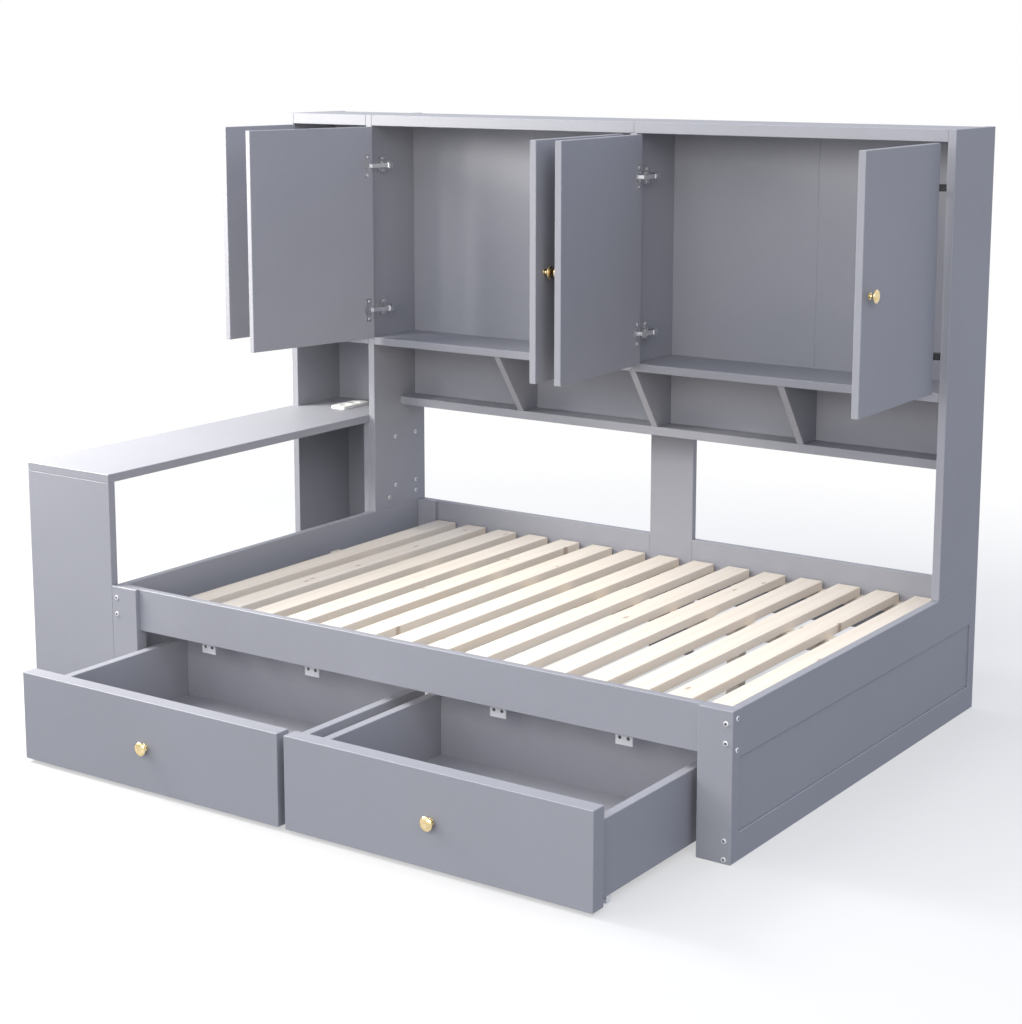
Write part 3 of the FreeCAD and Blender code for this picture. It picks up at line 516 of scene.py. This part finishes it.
def crossScrew(radius):
    # a low dome z = rise (rim + (1 - rim) (1 - r^2)), r from 0 to 1, over a short rim, with a cross pressed
    # into it: where |x| or |y| is under the slot's half width, the height drops by depth
    rings, columns = screwLook["rings"], screwLook["columns"]
    r, t = np.meshgrid(np.linspace(1, screwLook["inner"], rings), roundTurns(columns), indexing="ij")
    x = r * np.cos(t)
    y = r * np.sin(t)
    across = np.clip((screwLook["slot"] - np.minimum(abs(x), abs(y))) / screwLook["slotEase"], 0, 1)
    along = np.clip((screwLook["slotEnd"] - r) / screwLook["endEase"], 0, 1)
    dome = screwLook["rim"] + (1 - screwLook["rim"]) * (1 - r ** 2)
    z = screwLook["rise"] * dome - screwLook["depth"] * across * along
    top = np.stack([x * radius, y * radius, z], axis=-1).reshape(-1, 3)
    foot = np.stack([x[0] * radius, y[0] * radius, np.zeros(columns)], axis=-1)
    points = np.vstack([foot, top, [[0, 0, screwLook["rise"] - screwLook["depth"]]]])
    cap = capFaces(len(points) - 1, rings * columns, columns)
    footFace = [np.arange(columns)[::-1].tolist()]
    return points, gridFaces(rings + 1, columns).tolist() + cap.tolist() + footFace


def addScrews(name, screws, body):
    first = screws[0][0]
    radius = np.linalg.norm(first - first[-1], axis=1)  # from the screw's middle, its last point
    addPiece(name, joined(screws), zincTurned, body, turnRadius=np.tile(radius, len(screws)))


for number, door in doors.items():
    wingX = hingePlan["cup"] * door["hand"]
    wingHeights = [row + screwLook["wingDrop"] * side for row in hingePlan["rows"] for side in (-1, 1)]
    wings = [stood(crossScrew(screwLook["wingRadius"]), doorSpot(door, wingX, screwLook["wingFace"], height),
                   doorAxis(door, 1)) for height in wingHeights]
    addScrews(f"door_{number}_cupScrews", wings, f"door_{number}")
plateScrews = []
plateY = hingePlan["headFront"] + screwLook["plateDepth"]
setY = hingePlan["headFront"] + screwLook["setDepth"]
for door in doors.values():
    hand = door["hand"]
    plateX = door["face"] + screwLook["plateOut"] * hand
    setX = door["face"] + screwLook["setOut"] * hand
    out, deep = screwLook["setAxis"]
    for row in hingePlan["rows"]:
        for side in (-1, 1):
            plateSpot = (plateX, plateY, row + screwLook["plateDrop"] * side)
            plateScrews.append(stood(crossScrew(screwLook["plateRadius"]), plateSpot, (hand, 0, 0)))
        setAxis = (out * hand, deep, 0)
        plateScrews.append(stood(crossScrew(screwLook["setRadius"]), (setX, setY, row), setAxis))
addScrews("hingePlateScrews", plateScrews, "bed_frame")
print("hinge screws:", len(doors) * 4 + len(plateScrews))


# Frame bolts: round heads with a hexagon socket

boltLook = {"profile": [(0, 6.6), (0.9, 6.6), (1.8, 6.2), (2.3, 5.5), (2.4, 4.6), (2.4, 4.1), (0.5, 4.0),
                        (0.45, 0.2)],
            "socketRows": 3, "columns": 48,
            "postX": 970.0, "frontY": -1419.0, "postRows": (338.0, 291.0, 56.0, 11.0),
            "sideX": 988.0, "sideY": -1398.0, "sideRows": (349.0, 273.0), "panelX": -965.0,
            "panelSpots": ((-40.0, 602.0), (-148.0, 602.0), (-40.0, 440.0), (-148.0, 440.0), (-40.0, 404.0),
                           (-182.0, 404.0))}


def hexagonSocket(row, turn):
    # radius of a hexagon's side at each turn, for the rows of the socket alone
    hexagon = math.cos(math.pi / 6) / np.cos(np.mod(turn, math.pi / 3) - math.pi / 6)
    return np.where(row >= len(boltLook["profile"]) - boltLook["socketRows"], hexagon, 1.0)


boltShape = turnedShape(boltLook["profile"], boltLook["columns"], hexagonSocket)
boltPlaces = [((boltLook["postX"] * hand, boltLook["frontY"], row), (0, -1, 0))
              for hand in (-1, 1) for row in boltLook["postRows"]]
boltPlaces += [((boltLook["sideX"], boltLook["sideY"], row), (1, 0, 0)) for row in boltLook["sideRows"]]
boltPlaces += [((boltLook["panelX"], y, z), (1, 0, 0)) for y, z in boltLook["panelSpots"]]
addTurned("frameBolts", boltShape, boltPlaces, boltMetal, "bed_frame")
print("bolts:", len(boltPlaces))


# Drawer stops: two screws sunk in each plate

stopLook = {"places": (301.0, 669.0), "face": -1372.0, "height": 233.0, "spacing": 12.0,
            "profile": [(0.0, 4.6), (0.35, 4.4), (0.4, 3.4), (0.15, 2.6), (0.12, 0.2)], "columns": 36}
stopShape = turnedShape(stopLook["profile"], stopLook["columns"])
stopPlaces = [((place * hand + stopLook["spacing"] * side, stopLook["face"], stopLook["height"]), (0, -1, 0))
              for hand in (-1, 1) for place in stopLook["places"] for side in (-1, 1)]
# painted shade: the screws are dark for the shade in the plates' sunk holes
addTurned("stopScrews", stopShape, stopPlaces, darkTurned, "bed_frame")
print("stop screws:", len(stopPlaces))


# Castor wheels: a tyre with rounded shoulders, a dished side and a hub around the axle

wheelLook = {"profile": [(-7, 2.6), (-7, 4.2), (-6.1, 4.6), (-5.8, 6.6), (-6.6, 7.0), (-6.9, 8.0),
                         (-6.0, 9.1), (-4.4, 9.5), (-1.0, 9.5), (-0.6, 9.2), (0.6, 9.2), (1.0, 9.5),
                         (4.4, 9.5), (6.0, 9.1), (6.9, 8.0), (6.6, 7.0), (5.8, 6.6), (6.1, 4.6),
                         (7, 4.2), (7, 2.6)],
             "columns": 56, "sharpAngle": 40, "middles": (34.0, 862.0), "height": 9.5,
             "rows": {"front": -1762.0, "rear": -1309.0}}
wheelShape = ringShape(wheelLook["profile"], wheelLook["columns"])
for end, hand in drawerHands.items():
    for row, rowY in wheelLook["rows"].items():
        pair = [stood(wheelShape, (middle * hand, rowY, wheelLook["height"]), (1, 0, 0))
                for middle in wheelLook["middles"]]
        wheels = addPiece(f"{end}_{row}_castorWheels", joined(pair), whitePlastic, f"{end}_drawer_{row}_axle",
                          wheelLook["sharpAngle"])
        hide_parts(f"{end}_drawer_{row}_wheels")
print("castor wheels:", len(drawerHands) * len(wheelLook["rows"]) * len(wheelLook["middles"]))


# Socket unit: an outlet dish in each well, with two pin holes

outletLook = {"centre": (-1142.0, -161.0), "spacing": 24.0, "floor": 691.0, "columns": 64,
              "dish": [(0, 18.9), (3.9, 18.9), (4.3, 18.4), (4.2, 17.6), (1.0, 16.4), (0.7, 12.0),
                       (0.7, 0.3)],
              "hole": [(0.7, 2.6), (0.9, 2.6), (0.92, 2.2), (0.92, 0.2)], "holeOut": 9.5, "holeColumns": 32}
dishShape = turnedShape(outletLook["dish"], outletLook["columns"])
holeShape = turnedShape(outletLook["hole"], outletLook["holeColumns"])
dishes = []
holes = []
for side in (-1, 1):
    outletX, outletY = outletLook["centre"]
    middle = np.array([outletX, outletY + outletLook["spacing"] * side, outletLook["floor"]])
    dishes.append(stood(dishShape, middle, (0, 0, 1)))
    for hand in (-1, 1):
        holes.append(stood(holeShape, middle + np.array([outletLook["holeOut"] * hand, 0, 0]), (0, 0, 1)))
addPiece("outletDishes", joined(dishes), whitePlastic, "bed_frame")
# painted shade: the pin holes are thin black discs for the shade inside them
addPiece("outletHoles", joined(holes), holeShade, "bed_frame")
print("outlets:", len(dishes))


# The set, in metres: a pale floor that fades into a white surround, a broad key light from the upper left
# and four soft lamps

floorLook = {"size": 60.0, "colour": (0.30, 0.30, 0.30), "mottle": (0.28, 0.28, 0.285), "mottleScale": 3.0,
             "mottleShare": 0.3, "specular": 0.1, "roughness": 0.9, "glow": (0.50, 0.50, 0.50),
             "middle": (-0.15, -0.9, 0.0), "fadeFrom": 1.6, "fadeTo": 4.2}
black = (0.0, 0.0, 0.0)
white = (1.0, 1.0, 1.0)
half = floorLook["size"] / 2
floorMesh = bpy.data.meshes.new("floor")
floorMesh.from_pydata([(-half, -half, 0), (half, -half, 0), (half, half, 0), (-half, half, 0)], [],
                      [(0, 1, 2, 3)])
floor = bpy.data.objects.new("floor", floorMesh)
bpy.context.scene.collection.objects.link(floor)
floorFinish = Finish("paleFloor", {"Specular IOR Level": floorLook["specular"],
                                   "Roughness": floorLook["roughness"], "Emission Strength": 1.0})
floorPlace = floorFinish.place()
mottle = floorFinish.noise(floorPlace, floorLook["mottleScale"]) * floorLook["mottleShare"]
floorTone = floorFinish.mix(mottle, floorLook["colour"], floorLook["mottle"])
fromBed = floorFinish.node("ShaderNodeVectorMath", {"operation": "DISTANCE"},
                           {0: floorPlace, 1: floorLook["middle"]}, "Value")
farOff = floorFinish.step(fromBed, floorLook["fadeFrom"], floorLook["fadeTo"])
floorFinish.put({"Base Color": floorFinish.mix(farOff, floorTone, black),  # far off, the backdrop's white
                 "Emission Color": floorFinish.mix(farOff, floorLook["glow"], white)})
floorMesh.materials.append(floorFinish.material)
floor.visible_diffuse = False  # the floor is seen and mirrored but throws no light back up

keyLight = {"from": (-0.67, -0.28, 0.68), "place": (-3, -2, 5), "spread": 60.0, "strength": 1.5,
            "colour": (1.0, 0.96, 0.875)}
lampColour = (1.0, 0.965, 0.885)
lamps = {
    "leftFront": {"place": (-2.2, -2.2, 2.3), "aim": (-0.4, -0.9, 0.8), "size": (0.8, 0.8), "power": 36.0},
    "left": {"place": (-2.9, -1.7, 2.1), "aim": (-0.8, -0.9, 0.8), "size": (1.0, 1.0), "power": 112.0},
    "right": {"place": (3.6, -3.2, 3.4), "aim": (0.6, -0.6, 1.3), "size": (1.6, 1.6), "power": 38.0},
    "front": {"place": (1.5, -6.5, 2.6), "aim": (0, -0.8, 0.7), "size": (4.0, 3.0), "power": 170.0}}


def facing(back, place):
    # turns a lamp's z axis to the given direction and stands it in its place
    back = np.asarray(back, float) / np.linalg.norm(back)
    across = np.cross([0, 0, 1.0], back)
    across /= np.linalg.norm(across)
    turn = np.eye(4)
    turn[:3, :4] = np.stack([across, np.cross(back, across), back, place], axis=1)
    return Matrix(turn.tolist())


def addLamp(name, kind, strength, colour, turn):
    lampData = bpy.data.lights.new(name, kind)
    lampData.energy = strength
    lampData.color = colour
    lamp = bpy.data.objects.new(name, lampData)
    lamp.matrix_world = turn
    bpy.context.scene.collection.objects.link(lamp)
    return lampData


keyTurn = facing(keyLight["from"], keyLight["place"])
keyData = addLamp("key", "SUN", keyLight["strength"], keyLight["colour"], keyTurn)
keyData.angle = math.radians(keyLight["spread"])
for lampName, plan in lamps.items():
    lampTurn = facing(np.subtract(plan["place"], plan["aim"]), plan["place"])
    lampData = addLamp(lampName, "AREA", plan["power"], lampColour, lampTurn)
    lampData.shape = "RECTANGLE"
    lampData.size, lampData.size_y = plan["size"]

# Surround: bluish light, less of it from below, and plain white to the camera and to reflections
surroundLook = {"colour": (0.86, 0.96, 1.23), "lowFrom": -0.2, "fullFrom": 0.2, "low": 0.14, "full": 0.71,
                "backdrop": 1.0}
world = bpy.data.worlds.new("surround")
world.use_nodes = True
surround = Nodes(world.node_tree)
upward = surround.split(surround.node("ShaderNodeTexCoord", {}, {}, "Generated"))[2]  # of the ray's direction
share = surround.node("ShaderNodeMapRange", {},
                      {"Value": upward, "To Min": surroundLook["low"], "To Max": surroundLook["full"],
                       "From Min": surroundLook["lowFrom"], "From Max": surroundLook["fullFrom"]})
ambient = world.node_tree.nodes["Background"]
plug(ambient.inputs["Color"], surroundLook["colour"])
plug(ambient.inputs["Strength"], share)
backdrop = surround.node("ShaderNodeBackground", {}, {"Color": white, "Strength": surroundLook["backdrop"]})
cameraRay = surround.node("ShaderNodeLightPath", {}, {}, "Is Camera Ray")
glossyRay = surround.node("ShaderNodeLightPath", {}, {}, "Is Glossy Ray")
either = surround.node("ShaderNodeMixShader", {}, {0: cameraRay.work("MAXIMUM", glossyRay),
                                                   1: Wire(ambient.outputs["Background"]), 2: backdrop})
plug(world.node_tree.nodes["World Output"].inputs["Surface"], either)
bpy.context.scene.world = world
bpy.context.scene.view_settings.view_transform = "Standard"

cameraLook = {"place": (3.16337, -5.45946, 1.86743),
              "right": (0.822612547, 0.568602037, 0.000567378),  # the camera's own x, y and z directions
              "up": (-0.100702812, 0.144707371, 0.984336691),
              "back": (0.559613743, -0.809784848, 0.176297923),
              "lens": 73.434, "sensor": 36.0, "shiftX": 0.0005, "shiftY": -0.0922, "reach": 200.0}
cameraData = bpy.data.cameras.new("camera")
cameraData.lens = cameraLook["lens"]
cameraData.sensor_width = cameraLook["sensor"]
cameraData.shift_x = cameraLook["shiftX"]
cameraData.shift_y = cameraLook["shiftY"]
cameraData.clip_end = cameraLook["reach"]
camera = bpy.data.objects.new("camera", cameraData)
cameraTurn = np.eye(4)
cameraTurn[:3, :4] = np.stack([cameraLook[key] for key in ("right", "up", "back", "place")], axis=1)
camera.matrix_world = Matrix(cameraTurn.tolist())
bpy.context.scene.collection.objects.link(camera)
bpy.context.scene.camera = camera
print("set and camera ready")
